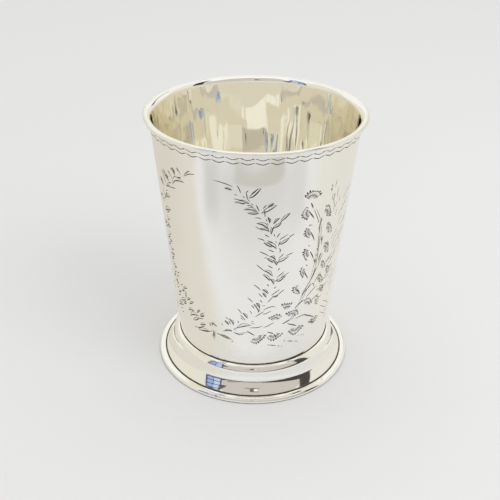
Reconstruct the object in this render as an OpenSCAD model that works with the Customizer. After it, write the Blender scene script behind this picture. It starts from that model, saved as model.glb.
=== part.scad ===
// Small silver drinking cup of the christening kind, built as a silversmith builds one:
// a tapered sheet wall with a flared lip, a bottom disc let into it, a round wire soldered
// under the lip, and a hollow spun foot, rounded above and hollowed below, with a flat band.
// Millimetres. The origin is on the axis, on the surface that the foot stands on.

/* [Cup] */
// Overall height, from the surface it stands on to the top of the rim wire
cup_h = 89.3; // [75:0.1:110]
// Diameter across the rim wire
mouth_d = 70; // [62:0.5:80]
// Outside diameter of the wall where it leaves the foot
waist_d = 52; // [44:0.5:58]
// Thickness of the sheet that the wall is made of
wall_t = 0.7; // [0.5:0.05:1.2]
// Height of the lip's flare, below the top of the rim
flare_h = 10; // [5:0.5:20]
// How far the lip turns out beyond the straight taper
flare_out = 0.8; // [0.2:0.1:2]

/* [Rim wire] */
// Diameter of the round wire
rim_wire_d = 1.3; // [0.9:0.05:2]
// How deep the wire is filed flat where it lies on the wall
rim_flat = 0.15; // [0.1:0.05:0.3]
// How far the wire stands above the edge of the wall
rim_proud = 0.15; // [0.05:0.05:0.3]

/* [Foot] */
// Height of the foot, from the surface it stands on to the joint with the wall
foot_h = 10.35; // [10:0.05:14]
// Radius of the foot's rounded top
crown_r = 2.6; // [2:0.05:3.2]
// How far the upright face below the rounded top stands out from the waist
upright_w = 2.15; // [1.8:0.05:2.8]
// Height of the upright face
upright_h = 0.15; // [0:0.05:1]
// How far the whole foot spreads out from the waist
spread = 5.4; // [4.5:0.05:6.5]
// Height of the foot's upright edge, below the hollow curve
edge_h = 1.45; // [1.45:0.05:2.5]
// Thickness of the spun sheet
foot_t = 0.9; // [0.6:0.05:1.2]

/* [Base band] */
// Width of the band that strengthens the foot's edge
band_w = 2.3; // [1.5:0.1:4]
// Height of the band
band_h = 1.4; // [1:0.1:1.4]
// Radius of the band's top outer edge
band_round = 0.8; // [0.1:0.05:1]

/* [Bottom] */
// Thickness of the bottom disc
bottom_t = 0.8; // [0.5:0.05:1.2]
// How far the wall reaches below the sheet of the foot
wall_tail = 1.2; // [0.6:0.1:2]
// How far the bottom disc lies above the wall's lower edge
bottom_lift = 0.5; // [0.2:0.1:1]

/* [Hidden] */

turned_fn = 180;
wire_fn = 48;
flare_steps = 12;

polished = [0.86, 0.85, 0.82];
shaded = [0.78, 0.77, 0.74];

// Heights, from the surface that the foot stands on
wall_foot_z = foot_h - foot_t - wall_tail;
wall_top_z = cup_h - rim_proud;
flare_z = cup_h - flare_h;
rim_z = cup_h - rim_wire_d / 2;
bottom_z = wall_foot_z + bottom_lift;

// Radii, outwards from the axis
lip_r = mouth_d / 2 - rim_wire_d + rim_flat;
waist_r = waist_d / 2;
upright_r = waist_r + upright_w;
edge_r = waist_r + spread;
band_r = edge_r + band_w;

// Middle of the rounded top, which runs through the joint with the wall and into the upright face
crown_at_r = upright_r - crown_r;
crown_at_z = foot_h - sqrt(pow(crown_r, 2) - pow(waist_r - crown_at_r, 2));
// Radius and middle of the hollow curve, which leaves the foot of the upright face and runs to the top
// of the upright edge
hollow_at_z = crown_at_z - upright_h;
hollow_w = spread - upright_w;
hollow_r = (pow(hollow_w, 2) + pow(hollow_at_z - edge_h, 2)) / (2 * hollow_w);
hollow_at_r = upright_r + hollow_r;

// Taper of the straight wall, in millimetres of radius for each millimetre of height
taper = (lip_r - flare_out - waist_r) / (rim_z - foot_h);
// Width of the wall's sheet measured level, so that it is wall_t thick across the taper
wall_level_t = wall_t / cos(atan(taper));

// How much of the flare is reached at height z, from 0 where it starts to 1 at the wire
function flare_at(z) = max(0, z - flare_z) / (rim_z - flare_z);
// Outside radius of the wall at height z
function wall_r(z) = waist_r + taper * (z - foot_h) + flare_out * pow(flare_at(z), 2);
// Heights at which the wall's outline has a point
wall_heights = concat(
    [wall_foot_z],
    [for (i = [0 : flare_steps]) flare_z + (wall_top_z - flare_z) * i / flare_steps]);

// All that lies within the wall's outer face, set in by inset
module within_wall(inset = 0) {
    outline = [for (z = wall_heights) [wall_r(z) - inset, z]];
    polygon(concat([[0, wall_foot_z]], outline, [[0, wall_top_z]]));
}

// Section of a solid foot of the same outside, or of its inside when the sheet is taken off
module foot_section(sheet = 0) {
    translate([crown_at_r, crown_at_z]) circle(r = crown_r - sheet, $fn = turned_fn);
    square([crown_at_r, crown_at_z + crown_r - sheet]);
    square([upright_r - sheet, crown_at_z]);
    difference() {
        square([edge_r - sheet, hollow_at_z]);
        translate([hollow_at_r, hollow_at_z])
            circle(r = hollow_r + sheet, $fn = turned_fn);
    }
}

module turned() {
    rotate_extrude($fn = turned_fn) children();
}

// Seamed and tapered sheet, raised to a flared lip
module cup_wall() {
    color(polished) turned() difference() {
        within_wall();
        within_wall(inset = wall_level_t);
    }
}

// Disc let into the foot of the wall, with its rim bevelled to the taper
module bottom_disc() {
    color(shaded) turned() intersection() {
        within_wall(inset = wall_level_t);
        translate([0, bottom_z]) square([waist_r, bottom_t]);
    }
}

// Round wire soldered under the edge of the lip
module rim_wire() {
    color(polished) turned() difference() {
        translate([mouth_d / 2 - rim_wire_d / 2, rim_z]) circle(d = rim_wire_d, $fn = wire_fn);
        within_wall();
    }
}

// Hollow spun foot, soldered round the wall: a rounded top, an upright face and a hollow curve
module foot_ring() {
    color(polished) turned() difference() {
        foot_section();
        foot_section(sheet = foot_t);
        within_wall();
    }
}

// Flat band soldered round the upright edge, on which the cup stands
module base_band() {
    corner_r = band_r - band_round;
    color(polished) turned() intersection() {
        translate([edge_r, 0]) square([band_w, band_h]);
        union() {
            translate([edge_r, 0]) square([band_w, band_h - band_round]);
            translate([edge_r, 0]) square([band_w - band_round, band_h]);
            translate([corner_r, band_h - band_round]) circle(r = band_round, $fn = wire_fn);
        }
    }
}

cup_wall();
bottom_disc();
rim_wire();
foot_ring();
base_band();
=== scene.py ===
# %% [markdown]
# A small silver christening cup, dressed for its portrait. The real cup is a tapered sheet of silver
# with a wire round its lip, standing on a hollow foot that is rounded above, hollowed below, and banded.
# The solids come packed from the CAD source, so this lesson begins by loading them as a fixed frame.
# Every piece made below stands exactly where its solid stands, and takes the solid's place in the picture.

# %% Load the frame
import math

import bmesh
import bpy
import numpy as np
from mathutils import Matrix, Vector, geometry, noise


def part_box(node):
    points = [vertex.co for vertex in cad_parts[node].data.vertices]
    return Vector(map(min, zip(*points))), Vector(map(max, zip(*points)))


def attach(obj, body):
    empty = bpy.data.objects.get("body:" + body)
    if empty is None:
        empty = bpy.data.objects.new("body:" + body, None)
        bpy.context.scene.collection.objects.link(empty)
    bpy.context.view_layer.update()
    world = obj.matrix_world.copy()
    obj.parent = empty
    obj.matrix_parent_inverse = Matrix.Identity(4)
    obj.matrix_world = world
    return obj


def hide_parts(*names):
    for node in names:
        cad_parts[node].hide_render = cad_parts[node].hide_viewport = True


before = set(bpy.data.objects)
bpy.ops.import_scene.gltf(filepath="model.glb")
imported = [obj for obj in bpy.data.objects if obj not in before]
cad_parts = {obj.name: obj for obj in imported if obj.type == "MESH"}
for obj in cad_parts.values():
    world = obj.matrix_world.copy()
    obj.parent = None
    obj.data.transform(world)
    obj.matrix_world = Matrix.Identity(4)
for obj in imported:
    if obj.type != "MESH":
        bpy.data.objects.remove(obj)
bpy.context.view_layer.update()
MM = 0.001

# %% [markdown]
# The cup's sizes. A maker works from a few of them: the height, the mouth, the waist where the wall leaves
# the foot, and the curves of the foot. What can be read from the frame's boxes is read from there;
# the rest repeats the values of the CAD source, in millimetres, because the boxes don't show them.

# %% Sizes of the cup
def box_mm(node):
    """Outer radius, lowest and highest point of a CAD node, in millimetres."""
    low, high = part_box(node)
    return high.x / MM, low.z / MM, high.z / MM


MOUTH_R, _, CUP_TOP = box_mm("rim_wire")
EDGE_R, _, WAIST_Z = box_mm("foot_ring")
BAND_R, _, BAND_TOP = box_mm("base_band")
_, DISC_LOW, DISC_TOP = box_mm("bottom_disc")
_, WALL_LOW, WALL_TOP = box_mm("cup_wall")
WAIST_R = 26.0
SHEET = 0.7
FLARE_H, FLARE_OUT = 10.0, 0.8
FLARE_Z = CUP_TOP - FLARE_H
WIRE_R, WIRE_FLAT = 0.65, 0.15
RIM_Z = CUP_TOP - WIRE_R
LIP_R = MOUTH_R - 2 * WIRE_R + WIRE_FLAT
CROWN_R = 2.6
UPRIGHT_W, UPRIGHT_H = 2.15, 0.15
UPRIGHT_R = WAIST_R + UPRIGHT_W
EDGE_TOP = 1.45
FOOT_SHEET = 0.9
BAND_ROUND = 0.8
TAPER = (LIP_R - FLARE_OUT - WAIST_R) / (RIM_Z - WAIST_Z)
LEVEL_SHEET = SHEET / math.cos(math.atan(TAPER))


def wall_r(z):
    """Outside radius of the wall at height z: a straight taper, with a flare towards the lip."""
    flare = np.maximum(0.0, z - FLARE_Z) / (RIM_Z - FLARE_Z)
    return WAIST_R + TAPER * (z - WAIST_Z) + FLARE_OUT * flare**2


def wall_slope(z):
    """How fast that radius grows with height."""
    flare = np.maximum(0.0, z - FLARE_Z) / (RIM_Z - FLARE_Z)
    return TAPER + 2 * FLARE_OUT * flare / (RIM_Z - FLARE_Z)


lean_out = math.degrees(math.atan(TAPER))
print("mouth", round(2 * MOUTH_R, 2), "waist", 2 * WAIST_R, "wall leans out", round(lean_out, 2), "deg")

# %% [markdown]
# The camera. It was fitted to the ellipses that the rim and the foot make in the photograph: it looks down
# at about thirty degrees from a quarter of a metre away, and leans by half a degree. A camera's axes are the
# columns of its matrix, so the three directions are worked out and set there, with no helper in between.

# %% Camera
CAMERA_AT = Vector((0, -226.4, 171.0)) * MM
LOOK_DOWN, LOOK_LEFT, LEAN = (math.radians(a) for a in (30.24, 0.346, 0.62))
SENSOR = 36.0
FOCAL_SHARE = 1.5346
NEAREST = 0.01

ahead = Vector((-math.sin(LOOK_LEFT) * math.cos(LOOK_DOWN), math.cos(LOOK_LEFT) * math.cos(LOOK_DOWN),
                -math.sin(LOOK_DOWN)))
level = Vector((math.cos(LOOK_LEFT), math.sin(LOOK_LEFT), 0))
upright = level.cross(ahead)
right = level * math.cos(LEAN) + upright * math.sin(LEAN)
above = upright * math.cos(LEAN) - level * math.sin(LEAN)

camera = bpy.data.objects.new("camera", bpy.data.cameras.new("camera"))
bpy.context.scene.collection.objects.link(camera)
camera.data.sensor_width = SENSOR
camera.data.lens = SENSOR * FOCAL_SHARE
camera.data.clip_start = NEAREST
axes = Matrix((right, above, -ahead)).transposed().to_4x4()
camera.matrix_world = Matrix.Translation(CAMERA_AT) @ axes
bpy.context.scene.camera = camera
bpy.context.scene.view_settings.view_transform = "Standard"
print("camera lens", round(camera.data.lens, 2), "mm")

# %% [markdown]
# The floor is a plain pale table. It is large, so that its far edge is lost in a background of the same
# paleness, and it is matt, so that it keeps the soft shadow of the cup and nothing else.

# %% Floor
FLOOR_HALF = 4.0
SQUARE = ((-1, -1), (1, -1), (1, 1), (-1, 1))
TABLE_WHITE = (0.803, 0.802, 0.797, 1)


def link(name, mesh):
    """Puts a mesh into the scene as an object."""
    made = bpy.data.objects.new(name, mesh)
    bpy.context.scene.collection.objects.link(made)
    return made


def nodes_of(name):
    """A fresh material, its node tree and its Principled shader."""
    material = bpy.data.materials.new(name)
    material.use_nodes = True
    tree = material.node_tree
    return material, tree, tree.nodes["Principled BSDF"]


floor_mesh = bpy.data.meshes.new("floor")
floor_mesh.from_pydata([(x * FLOOR_HALF, y * FLOOR_HALF, 0) for x, y in SQUARE], [], [(0, 1, 2, 3)])
floor = link("floor", floor_mesh)
table_white, _, shader = nodes_of("table_white")
shader.inputs["Base Color"].default_value = TABLE_WHITE
shader.inputs["Roughness"].default_value = 0.9
shader.inputs["Specular IOR Level"].default_value = 0.1
floor_mesh.materials.append(table_white)
print("floor", 2 * FLOOR_HALF, "m square")

# %% [markdown]
# The light. Polished silver has hardly a colour of its own: it shows the room. So the studio has two parts.
# A wide lamp and an even sky light the table softly. Round them stands a ring of plain cards that only
# reflections can see: a white ceiling, a warm grey room in front, a cool window on the left and a dark
# screen on the right. The mouldings of the foot pick these up as stripes, as the real ones do.

# %% Soft light
SKY = 0.90
LAMP_W, LAMP_SIZE = 1.3, 0.5
LAMP_AT = Vector((0.45, -0.35, 0.58))
BOUNCES, MIRROR_BOUNCES = 16, 14

lamp = bpy.data.objects.new("soft_lamp", bpy.data.lights.new("soft_lamp", "AREA"))
bpy.context.scene.collection.objects.link(lamp)
lamp.data.shape = "DISK"
lamp.data.size = LAMP_SIZE
lamp.data.energy = LAMP_W
lamp.location = LAMP_AT
lamp.rotation_euler = (-LAMP_AT).to_track_quat("-Z", "Y").to_euler()
lamp.visible_glossy = False
lamp.visible_camera = False

world = bpy.data.worlds.new("studio")
bpy.context.scene.world = world
world.use_nodes = True
tree = world.node_tree
tree.nodes.clear()


def background(colour, strength):
    """A Background shader of one colour."""
    node = tree.nodes.new("ShaderNodeBackground")
    node.inputs["Color"].default_value = (*colour, 1)
    node.inputs["Strength"].default_value = strength
    return node


ray = tree.nodes.new("ShaderNodeLightPath")
even_sky = background((1.0, 1.0, 1.0), SKY)
seen_white = background((0.80, 0.80, 0.79), 1.0)
room_white = background((0.80, 0.79, 0.76), 1.0)
for_metal = tree.nodes.new("ShaderNodeMixShader")
for_camera = tree.nodes.new("ShaderNodeMixShader")
out = tree.nodes.new("ShaderNodeOutputWorld")
tree.links.new(ray.outputs["Is Glossy Ray"], for_metal.inputs["Fac"])
tree.links.new(even_sky.outputs[0], for_metal.inputs[1])
tree.links.new(room_white.outputs[0], for_metal.inputs[2])
tree.links.new(ray.outputs["Is Camera Ray"], for_camera.inputs["Fac"])
tree.links.new(for_metal.outputs[0], for_camera.inputs[1])
tree.links.new(seen_white.outputs[0], for_camera.inputs[2])
tree.links.new(for_camera.outputs[0], out.inputs["Surface"])
bpy.context.scene.cycles.max_bounces = BOUNCES
bpy.context.scene.cycles.glossy_bounces = MIRROR_BOUNCES
print("sky", SKY, "lamp", LAMP_W, "W")

# %% [markdown]
# The cards. Each is a patch of a large dome, given by the compass directions and heights between which it
# stands: zero is towards the camera, and positive angles turn to the right. A patch of a dome keeps its
# angles exactly, which a flat card wouldn't. Where cards overlap, the nearer one hides the other. Lamps and
# cameras look straight through them all.

# %% Cards for the reflections
CARD_DISTANCE = 1.6
LEAN_AT = 60
WINDOW_LEAN = -20
CURTAIN = (0.13, 0.12, 0.11)
MARK = (0.15, 0.14, 0.13)


def glow(name, colour):
    """A material that only shines, in one colour."""
    material, tree, shader = nodes_of(name)
    tree.nodes.remove(shader)
    shine = tree.nodes.new("ShaderNodeEmission")
    shine.inputs["Color"].default_value = (*colour, 1)
    tree.links.new(shine.outputs[0], tree.nodes["Material Output"].inputs["Surface"])
    return material


def only_reflected(card):
    """Hides a card from all but reflections."""
    card.visible_camera = False
    card.visible_diffuse = False
    card.visible_shadow = False
    card.visible_transmission = False


def dome_card(name, around, up, colour, nearer=0.0, steps=12, climb=0.0, lean=0.0):
    """A patch of a dome between two compass directions and two heights, in degrees, nearer than the dome by
    so many metres. Its top edge climbs by so many degrees from left to right, and the card leans to the
    side by so many at a height of LEAN_AT."""
    distance = CARD_DISTANCE - nearer
    share = np.linspace(0, 1, steps + 1)
    points = []
    for s in share:
        for t, c in zip(np.radians(np.linspace(*around, steps + 1)), share):
            h = math.radians(up[0] + s * (up[1] + climb * c - up[0]))
            t += math.radians(lean) * (math.degrees(h) / LEAN_AT) ** 3
            points.append((math.cos(h) * math.sin(t), -math.cos(h) * math.cos(t), math.sin(h)))
    points = [tuple(distance * v for v in point) for point in points]
    wide = steps + 1
    faces = [(r * wide + c, r * wide + c + 1, (r + 1) * wide + c + 1, (r + 1) * wide + c)
             for r in range(steps) for c in range(steps)]
    mesh = bpy.data.meshes.new(name)
    mesh.from_pydata(points, [], faces)
    mesh.materials.append(glow(name, colour))
    only_reflected(link(name, mesh))


dome_card("ceiling", (-180, 180), (60, 89.5), (1.0, 1.0, 1.0), steps=48)
dome_card("room_front", (-46, 66), (2, 75), (0.60, 0.565, 0.53), 0.1, steps=24)
dome_card("room_left", (-180, -60), (-2, 58), (0.80, 0.775, 0.68), 0.05, steps=24)
dome_card("room_right", (60, 180), (-2, 58), (0.82, 0.80, 0.745), 0.05, steps=24)
dome_card("room_low", (-60, 80), (-1, 2.5), (0.05, 0.045, 0.04), 0.2, steps=24, climb=1)
dome_card("dark_screen", (61, 77), (0, 66), (0.065, 0.06, 0.058), 0.3, lean=20)
dome_card("dark_tail", (12, 63), (-1, 4), (0.06, 0.055, 0.05), 0.3, climb=15)
dome_card("window_frame", (-60, -38), (3, 70), (0.09, 0.10, 0.15), 0.15, lean=WINDOW_LEAN)
for pane, (low, high) in enumerate(((6, 17), (20, 33), (36, 48), (51, 67))):
    dome_card(f"window_low_{pane}", (-57.5, -49.5), (low, high), (0.35, 0.45, 0.72), 0.25, lean=WINDOW_LEAN)
    dome_card(f"window_side_{pane}", (-48.5, -40), (low, high), (0.55, 0.65, 0.88), 0.25, lean=WINDOW_LEAN)
dome_card("curtain_low", (-39, -31), (1, 10), CURTAIN, 0.2, climb=-7)
dome_card("curtain_fold", (-39, -31), (30, 62), CURTAIN, 0.2, climb=-26, lean=WINDOW_LEAN)
dome_card("room_dim", (-31, -14), (2, 14), (0.38, 0.35, 0.32), 0.2, climb=-9)
dome_card("back_white", (120, 240), (22, 60), (0.95, 0.94, 0.90), 0.1, steps=24)
dome_card("dark_door", (151, 158), (20, 44), (0.16, 0.155, 0.15), 0.3)
dome_card("dark_mark", (-3, 2), (31, 50), MARK, 0.3)
dome_card("dark_mark_low", (-10, 9), (31, 34), MARK, 0.3)
dome_card("dark_mark_high", (-3, 9), (47, 50), MARK, 0.3)
dome_card("white_mark", (3, 7), (36, 46), (1.0, 1.0, 1.0), 0.4)

# %% [markdown]
# A material is a network of nodes: small boxes that each take numbers or colours and give one on. The soft
# cards and the silver need the same few boxes again and again, so helpers add a sum, a change of range and
# a blend of two colours. Each gives back the socket that its result comes out of.

# %% Helpers for nodes
def feed(tree, socket, value):
    """Sets a socket to a number or a colour, or joins it to another node's result."""
    if isinstance(value, bpy.types.NodeSocket):
        tree.links.new(value, socket)
    else:
        socket.default_value = value


def math_node(tree, kind, *values):
    """The result of a sum of some kind, over numbers or the results of other nodes."""
    node = tree.nodes.new("ShaderNodeMath")
    node.operation = kind
    for socket, value in zip(node.inputs, values):
        feed(tree, socket, value)
    return node.outputs[0]


def ranged(tree, value, low, high, to_low, to_high, kind="LINEAR"):
    """A value moved from the range of low to high into another range, and held at its ends."""
    node = tree.nodes.new("ShaderNodeMapRange")
    node.interpolation_type = kind
    for socket, given in zip(node.inputs, (value, low, high, to_low, to_high)):
        feed(tree, socket, given)
    return node.outputs[0]


def blend(tree, share, first, second):
    """A colour between two others, nearer to the second as the share grows."""
    node = tree.nodes.new("ShaderNodeMix")
    node.data_type = "RGBA"
    for name, given in (("Factor", share), ("A", first), ("B", second)):
        feed(tree, node.inputs[name], given)
    return node.outputs["Result"]


print("helpers for nodes: a sum, a change of range and a blend")

# %% [markdown]
# The wall leans out, so it shows hardly more than the table in front of it, which would be one even grey.
# Soft cards that lie on the table give it life: one in front that dims towards the camera, a painted shadow
# on the table, a cream strip on the left that the wall shows as a warm upright band, a paler strip on the
# right, and two dim ones at the front corners. A small grey one hangs close to the wall and lays a soft patch
# of painted shade below the rim. Each fades out towards its edges.

# %% Soft cards close to the cup
def soft_card(name, middle, turn, size, fade, colours, span):
    """A level card in millimetres, turned by degrees about its middle. Its colour runs from the first to
    the second over the span of its own depth, and it fades out over so many millimetres at its edges."""
    half = [0.5 * s for s in size]
    mesh = bpy.data.meshes.new(name)
    mesh.from_pydata([(x * half[0] * MM, y * half[1] * MM, 0) for x, y in SQUARE], [], [(0, 1, 2, 3)])
    material = glow(name, (1, 1, 1))
    tree = material.node_tree
    new = tree.nodes.new
    join = tree.links.new

    def eased(value, low, high, to_low, to_high):
        return ranged(tree, value, low * MM, high * MM, to_low, to_high, "SMOOTHSTEP")

    split = new("ShaderNodeSeparateXYZ")
    join(new("ShaderNodeTexCoord").outputs["Object"], split.inputs[0])
    shown = []
    for axis in (0, 1):
        away = math_node(tree, "ABSOLUTE", split.outputs[axis])
        shown.append(eased(away, half[axis] - fade[axis], half[axis], 1.0, 0.0))
    tone = blend(tree, eased(split.outputs[1], *span, 0.0, 1.0), (*colours[0], 1), (*colours[1], 1))
    join(tone, tree.nodes["Emission"].inputs["Color"])
    seen = new("ShaderNodeMixShader")
    join(math_node(tree, "MULTIPLY", *shown), seen.inputs["Fac"])
    join(new("ShaderNodeBsdfTransparent").outputs[0], seen.inputs[1])
    join(tree.nodes["Emission"].outputs[0], seen.inputs[2])
    join(seen.outputs[0], tree.nodes["Material Output"].inputs["Surface"])
    mesh.materials.append(material)
    card = link(name, mesh)
    card.location = [c * MM for c in middle]
    card.rotation_euler.z = math.radians(turn)
    only_reflected(card)


# The front card darkens towards the camera: a painted shadow on the table, seen only in reflections.
soft_card("table_front", (0, -148, 0.4), 0, (420, 226), (60, 8),
          ((0.669, 0.667, 0.665), (0.81, 0.81, 0.815)), (11, 91))
soft_card("cream_strip", (-181, 46, 0.6), 10, (320, 250), (22, 26),
          ((0.735, 0.71, 0.645), (0.685, 0.655, 0.585)), (-110, 0))
soft_card("pale_strip", (197, 56, 0.6), -25.5, (310, 300), (20, 45),
          ((0.79, 0.775, 0.73), (0.77, 0.755, 0.71)), (-120, 0))
# The grey card is painted shade that the wall shows as a soft patch below the rim.
soft_card("grey_patch", (3, -45.1, 70), 0, (33, 4.8), (4, 1.2),
          ((0.59, 0.575, 0.54), (0.59, 0.575, 0.54)), (-2, 2))
soft_card("dim_left", (-100, -98, 0.8), 45, (80, 60), (30, 24),
          ((0.64, 0.635, 0.62), (0.64, 0.635, 0.62)), (-9, 9))
soft_card("dim_right", (98, -96, 0.8), -45, (80, 60), (30, 24),
          ((0.70, 0.695, 0.68), (0.70, 0.695, 0.68)), (-9, 9))
print("soft cards: front, cream, pale, grey, and two dim ones")

# %% [markdown]
# The inside of the cup is a mirror that mostly looks at itself, and shows the room after several crossings.
# What it shows first, almost level over the front of the rim, is what stands round the table. A low cream
# screen, well clear of the cup and a little above the height of the mouth, gives it an even warm tone.

# %% Screen at the height of the mouth
SCREEN_R, SCREEN_LOW, SCREEN_HIGH = 70.0, 90.5, 118.0
SCREEN_REACH = 140
SCREEN_STEPS = 96
SCREEN_CREAM = (0.74, 0.70, 0.60)

around = np.radians(np.linspace(-SCREEN_REACH, SCREEN_REACH, SCREEN_STEPS + 1))
ring = [(SCREEN_R * math.sin(t) * MM, -SCREEN_R * math.cos(t) * MM) for t in around]
screen_mesh = bpy.data.meshes.new("cream_screen")
screen_mesh.from_pydata([(x, y, z * MM) for z in (SCREEN_LOW, SCREEN_HIGH) for x, y in ring], [],
                        [(c, c + 1, c + SCREEN_STEPS + 2, c + SCREEN_STEPS + 1) for c in range(SCREEN_STEPS)])
screen_mesh.materials.append(glow("cream_screen", SCREEN_CREAM))
only_reflected(link("cream_screen", screen_mesh))
print("cream screen", round(SCREEN_R - MOUTH_R, 2), "mm clear of the rim")

# %% [markdown]
# A polished finish is never even. Polishing leaves hairlines that run round the axis, handling leaves cloudy
# patches, and polish that dries in the joints turns dark. The dark lines in the joints are partly that
# tarnish and partly painted shade: in the crevices under the wire and at the foot, and along the band's lower
# edge a painted contact shadow where the foot meets the table. A painted map would be coarse from close by,
# so nodes make all three from the surface's own place on the cup: its distance from the axis, its height and
# its angle. The tarnish and painted shade in the joints come first.

# %% Tarnish and painted shade in the joints
# Where polish dries and shade is painted: distance from the axis, height, and width of the dark line
TARNISH_AND_SHADE_LINES = ((WAIST_R, WAIST_Z, 0.36), (EDGE_R, BAND_TOP, 0.42), (LIP_R - 0.25, RIM_Z - 0.75, 0.28),
          (BAND_R - 0.05, 0.0, 0.34))


def length_of(tree, a, b):
    """The length of a step with the sides a and b."""
    squares = [math_node(tree, "MULTIPLY", side, side) for side in (a, b)]
    return math_node(tree, "SQRT", math_node(tree, "ADD", *squares))


def place_on_cup(tree):
    """Where a surface point lies: its place, its distance from the axis, its height, and a vector of that
    distance and height in millimetres and its angle, which changes slowly along a line round the axis."""
    place = tree.nodes.new("ShaderNodeTexCoord").outputs["Object"]
    split = tree.nodes.new("ShaderNodeSeparateXYZ")
    tree.links.new(place, split.inputs[0])
    x, y, z = split.outputs
    radius = length_of(tree, x, y)
    ring = tree.nodes.new("ShaderNodeCombineXYZ")
    in_mm = [math_node(tree, "MULTIPLY", length, 1 / MM) for length in (radius, z)]
    for socket, value in zip(ring.inputs, (*in_mm, math_node(tree, "ARCTAN2", y, x))):
        feed(tree, socket, value)
    return place, radius, z, ring.outputs[0]


def tarnish_and_shade(tree, radius, z, specks):
    """How dark the metal is with tarnish and painted shade, from nought away from the joints to one in them,
    with an uneven edge.
    """
    darkest = 0.0
    for joint_r, joint_z, width in TARNISH_AND_SHADE_LINES:
        away = length_of(tree, math_node(tree, "SUBTRACT", radius, joint_r * MM),
                         math_node(tree, "SUBTRACT", z, joint_z * MM))
        reach = math_node(tree, "MULTIPLY_ADD", specks, 0.5 * width * MM, 0.75 * width * MM)
        near = math_node(tree, "SUBTRACT", 1.0, math_node(tree, "DIVIDE", away, reach))
        darkest = math_node(tree, "MAXIMUM", darkest, ranged(tree, near, 0.0, 0.5, 0.0, 1.0))
    return darkest


# %% [markdown]
# Silver. Clean silver returns about 97, 96 and 92 percent of red, green and blue light, which is why the
# inside of a cup turns cream: light bounces there many times, and each bounce keeps a little less blue. All
# finishes share one recipe and differ in gloss. The inside of the wall is the brightest, then come the wire
# and the foot, the engraved outside is softer, and the bottom disc is dulled by use.

# %% Silver finishes
SILVER = (0.972, 0.962, 0.920, 1)
WORN_TINT = (0.90, 0.86, 0.77, 1)
# Dark colour of the joint lines: tarnish and painted shade, with a painted contact shadow at the band's lower
# edge.
GRIME_AND_SHADE = (0.10, 0.088, 0.07, 1)


def noise_node(tree, vector, scale, detail):
    """Soft noise over a vector."""
    node = tree.nodes.new("ShaderNodeTexNoise")
    for name, given in (("Vector", vector), ("Scale", scale), ("Detail", detail)):
        feed(tree, node.inputs[name], given)
    return node.outputs["Fac"]


def silver(name, rough, cloud, hairline, dents):
    """Polished silver: rough is the gloss of clean metal, cloud how much duller it gets in patches,
    hairline how deep the polishing lines are, and dents the height of its unevenness, in millimetres."""
    material, tree, shader = nodes_of(name)
    place, radius, z, ring = place_on_cup(tree)
    lines = noise_node(tree, ring, 9.0, 3.0)
    patches = noise_node(tree, place, 70.0, 4.0)
    swell = noise_node(tree, place, 55.0, 1.0)
    dark = tarnish_and_shade(tree, radius, z, noise_node(tree, place, 900.0, 2.0))

    clean = blend(tree, ranged(tree, patches, 0.52, 0.85, 0.0, 0.3), SILVER, WORN_TINT)
    feed(tree, shader.inputs["Base Color"], blend(tree, dark, clean, GRIME_AND_SHADE))

    dull = math_node(tree, "ADD", ranged(tree, patches, 0.4, 0.8, rough, rough + cloud),
                     ranged(tree, lines, 0.45, 0.75, 0.0, cloud))
    feed(tree, shader.inputs["Roughness"], math_node(tree, "MULTIPLY_ADD", dark, 0.3, dull))

    bump = tree.nodes.new("ShaderNodeBump")
    swells = math_node(tree, "MULTIPLY", swell, dents)
    height = math_node(tree, "MULTIPLY_ADD", lines, hairline, swells)
    for socket, value in (("Strength", 1.0), ("Distance", MM), ("Height", height)):
        feed(tree, bump.inputs[socket], value)
    feed(tree, shader.inputs["Normal"], bump.outputs["Normal"])
    shader.inputs["Metallic"].default_value = 1.0
    return material


polished_silver = silver("polished_silver", rough=0.045, cloud=0.05, hairline=0.0003, dents=0.01)
engraved_silver = silver("engraved_silver", rough=0.07, cloud=0.06, hairline=0.0004, dents=0.03)
inside_silver = silver("inside_silver", rough=0.024, cloud=0.02, hairline=0.0001, dents=0.0)
worn_silver = silver("worn_silver", rough=0.16, cloud=0.14, hairline=0.001, dents=0.03)
print("finishes:", [m.name for m in bpy.data.materials if "silver" in m.name])

# %% [markdown]
# The mouldings are turned shapes: an outline of radius and height, swept round the axis. Blender's Screw
# modifier could do it, but a mesh made directly has its unrolled map at once, and a polished curve needs
# many narrow facets, or the reflections break up at their edges.

# %% Turning an outline
TURNED_STEPS = 288
SHARP = math.radians(30)


def smooth(mesh):
    """Smooth shading, with edges left sharp where the outline has a corner."""
    mesh.polygons.foreach_set("use_smooth", [True] * len(mesh.polygons))
    mesh.set_sharp_from_angle(angle=SHARP)


def turned(name, outline, steps=TURNED_STEPS):
    """Sweeps a closed outline of (radius, height) points, in millimetres, round the axis."""
    outline = np.array(outline)
    count = len(outline)
    turns = np.linspace(0, 2 * np.pi, steps, endpoint=False)
    spread = np.empty((steps, count, 3))
    spread[..., 0] = outline[:, 0] * np.sin(turns)[:, None]
    spread[..., 1] = -outline[:, 0] * np.cos(turns)[:, None]
    spread[..., 2] = outline[:, 1]
    along = np.r_[0, np.cumsum(np.linalg.norm(np.diff(np.vstack([outline, outline[:1]]), axis=0), axis=1))]
    along = 0.01 + 0.98 * along / along[-1]
    faces, maps = [], []
    for s in range(steps):
        t = (s + 1) % steps
        for i in range(count):
            j = (i + 1) % count
            faces.append((s * count + i, t * count + i, t * count + j, s * count + j))
            u, v = s / steps, (s + 1) / steps
            maps += [(u, along[i]), (v, along[i]), (v, along[i + 1]), (u, along[i + 1])]
    mesh = bpy.data.meshes.new(name)
    mesh.from_pydata((spread.reshape(-1, 3) * MM).tolist(), [], faces)
    flat = mesh.uv_layers.new(name="OFBake")
    flat.data.foreach_set("uv", np.array(maps, float).ravel())
    mesh.validate()
    smooth(mesh)
    return link(name, mesh)


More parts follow.
